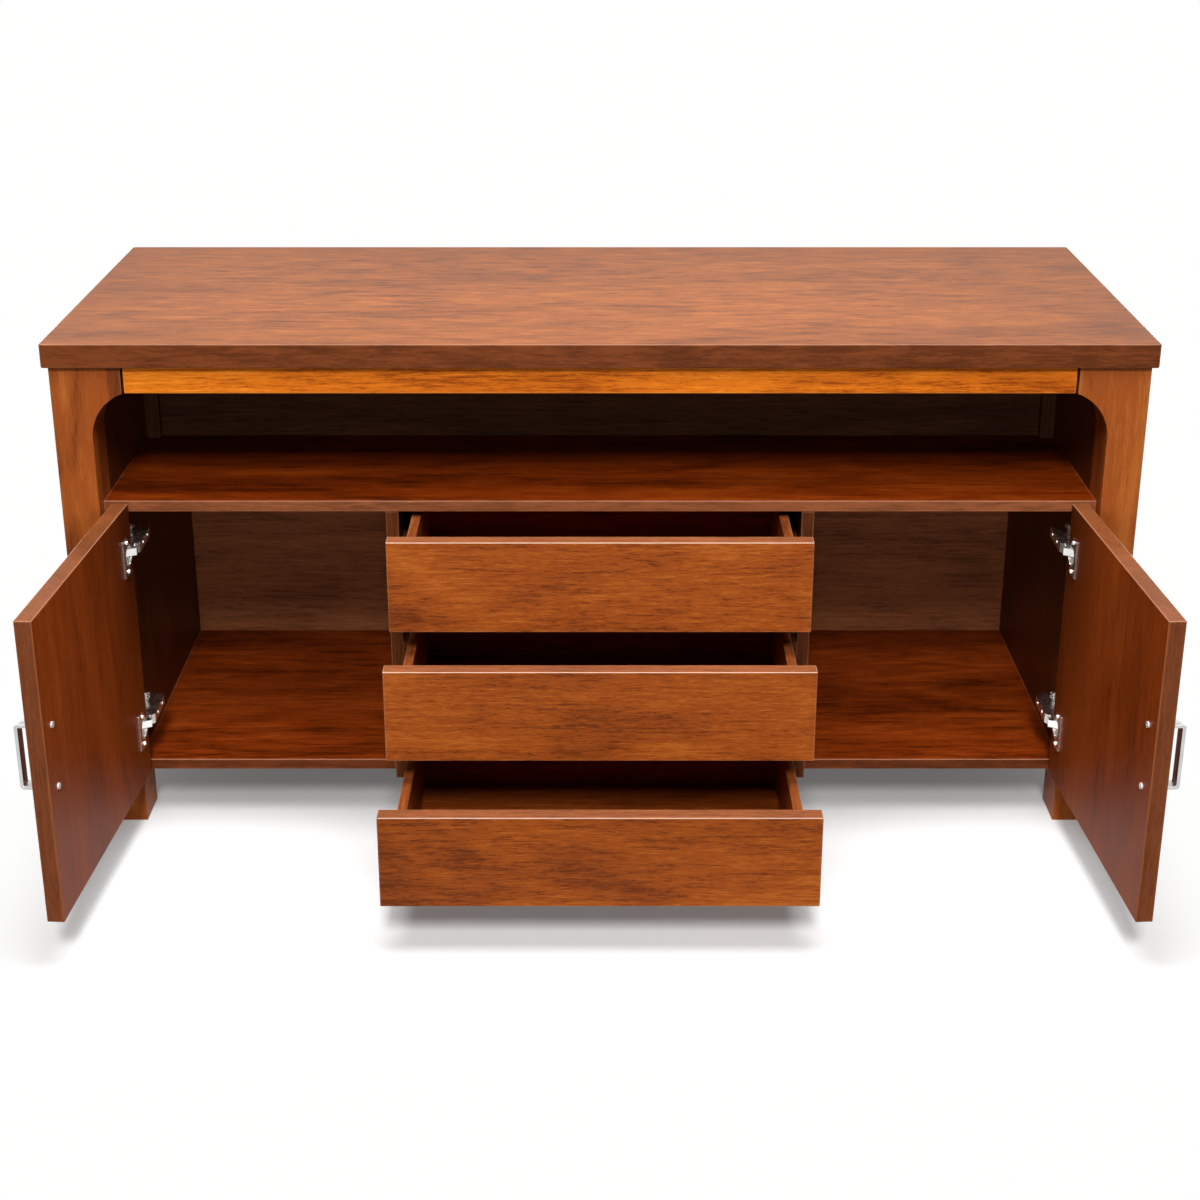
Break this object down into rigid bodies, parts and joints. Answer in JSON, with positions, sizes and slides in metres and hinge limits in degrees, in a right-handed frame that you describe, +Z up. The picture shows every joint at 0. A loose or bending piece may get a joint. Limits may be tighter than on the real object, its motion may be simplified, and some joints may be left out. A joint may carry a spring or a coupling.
{
  "type": "sideboard",
  "caption": "Low wooden sideboard on four legs, with an open bay under a thick top, a cupboard with a concealed-hinge door at each end and drawers between them.",
  "frame": {"origin": "on the floor, at the middle of the whole width and depth that the sideboard takes up with its doors and drawers open as drawn; the front faces of the front legs stand 0.0997 m in front of it", "axes": "+X to the right as seen from the front, +Y to the back, +Z up"},
  "size_m": [1.68, 1.0586, 0.812],
  "materials": {
    "top_wood": "satin",
    "leg_wood": "satin",
    "rail_wood": "satin",
    "shelf_wood": "satin",
    "case_wood": "satin",
    "panel_wood": "matte",
    "front_wood": "satin",
    "drawer_wood": "satin",
    "door_wood": "satin",
    "slide_steel": "zinc plated",
    "screw_steel": "nickel plated",
    "handle_steel": "satin",
    "hinge_nickel": "nickel plated"
  },
  "bodies": {
    "cabinet": {"top": "top_wood", "front_rail": "rail_wood", "rear_rail": "case_wood", "leg_front_left": "leg_wood", "leg_front_right": "leg_wood", "leg_rear_left": "leg_wood", "leg_rear_right": "leg_wood", "end_panel_left": "case_wood", "end_panel_right": "case_wood", "lining_left": "case_wood", "lining_right": "case_wood", "shelf": "shelf_wood", "divider_left": "case_wood", "divider_right": "case_wood", "floor_left": "case_wood", "floor_right": "case_wood", "back_panel": "panel_wood", "bay_back": "panel_wood", "corner_cleats": "panel_wood", "slide_packers": "case_wood", "cabinet_slides": "slide_steel", "hinge_plates_left": "hinge_nickel", "hinge_plates_right": "hinge_nickel", "hinge_arms_left": "hinge_nickel", "hinge_arms_right": "hinge_nickel", "arm_screws_left": "screw_steel", "arm_screws_right": "screw_steel", "plate_screws": "screw_steel"},
    "middle_slides_1": {"middle_slides_1": "slide_steel"},
    "drawer_1": {"drawer_front_1": "front_wood", "drawer_sides_1": "drawer_wood", "drawer_back_1": "drawer_wood", "drawer_tray_1": "drawer_wood", "drawer_slides_1": "slide_steel"},
    "middle_slides_2": {"middle_slides_2": "slide_steel"},
    "drawer_2": {"drawer_front_2": "front_wood", "drawer_sides_2": "drawer_wood", "drawer_back_2": "drawer_wood", "drawer_tray_2": "drawer_wood", "drawer_slides_2": "slide_steel"},
    "middle_slides_3": {"middle_slides_3": "slide_steel"},
    "drawer_3": {"drawer_front_3": "front_wood", "drawer_sides_3": "drawer_wood", "drawer_back_3": "drawer_wood", "drawer_tray_3": "drawer_wood", "drawer_slides_3": "slide_steel"},
    "outer_links_left": {"outer_links_left": "hinge_nickel"},
    "door_left_body": {"door_left": "door_wood", "hinge_cups_left": "hinge_nickel", "cup_screws_left": "screw_steel", "handle_left": "handle_steel", "handle_screws_left": "screw_steel"},
    "outer_links_right": {"outer_links_right": "hinge_nickel"},
    "door_right_body": {"door_right": "door_wood", "hinge_cups_right": "hinge_nickel", "cup_screws_right": "screw_steel", "handle_right": "handle_steel", "handle_screws_right": "screw_steel"}
  },
  "joints": [
    {"name": "drawer_1_pull", "type": "slide", "parent": "cabinet", "child": "drawer_1", "axis": [0, -1, 0], "range_m": [-0.143, 0.245]},
    {"name": "middle_slides_1_follow", "type": "slide", "parent": "cabinet", "child": "middle_slides_1", "axis": [0, -1, 0], "range_m": [-0.0715, 0.1225]},
    {"name": "drawer_2_pull", "type": "slide", "parent": "cabinet", "child": "drawer_2", "axis": [0, -1, 0], "range_m": [-0.248, 0.14]},
    {"name": "middle_slides_2_follow", "type": "slide", "parent": "cabinet", "child": "middle_slides_2", "axis": [0, -1, 0], "range_m": [-0.124, 0.07]},
    {"name": "drawer_3_pull", "type": "slide", "parent": "cabinet", "child": "drawer_3", "axis": [0, -1, 0], "range_m": [-0.388, 0]},
    {"name": "middle_slides_3_follow", "type": "slide", "parent": "cabinet", "child": "middle_slides_3", "axis": [0, -1, 0], "range_m": [-0.194, 0]},
    {"name": "door_left_turn", "type": "hinge", "parent": "outer_links_left", "child": "door_left_body", "pos_m": [-0.74583, -0.09402, 0.3195], "axis": [0, 0, -1], "range_deg": [-118.5, 0]},
    {"name": "outer_links_left_turn", "type": "hinge", "parent": "cabinet", "child": "outer_links_left", "pos_m": [-0.73194, -0.06806, 0.3195], "axis": [0, 0, -1], "range_deg": [0, 25]},
    {"name": "door_right_turn", "type": "hinge", "parent": "outer_links_right", "child": "door_right_body", "pos_m": [0.74583, -0.09402, 0.3195], "axis": [0, 0, 1], "range_deg": [-118.5, 0]},
    {"name": "outer_links_right_turn", "type": "hinge", "parent": "cabinet", "child": "outer_links_right", "pos_m": [0.73194, -0.06806, 0.3195], "axis": [0, 0, 1], "range_deg": [0, 25]}
  ],
  "couplings": [
    {"joint": "middle_slides_1_follow", "follows": "drawer_1_pull", "ratio": 0.5},
    {"joint": "middle_slides_2_follow", "follows": "drawer_2_pull", "ratio": 0.5},
    {"joint": "middle_slides_3_follow", "follows": "drawer_3_pull", "ratio": 0.5},
    {"joint": "outer_links_left_turn", "follows": "door_left_turn", "ratio": -0.21097},
    {"joint": "outer_links_right_turn", "follows": "door_right_turn", "ratio": -0.21097}
  ]
}
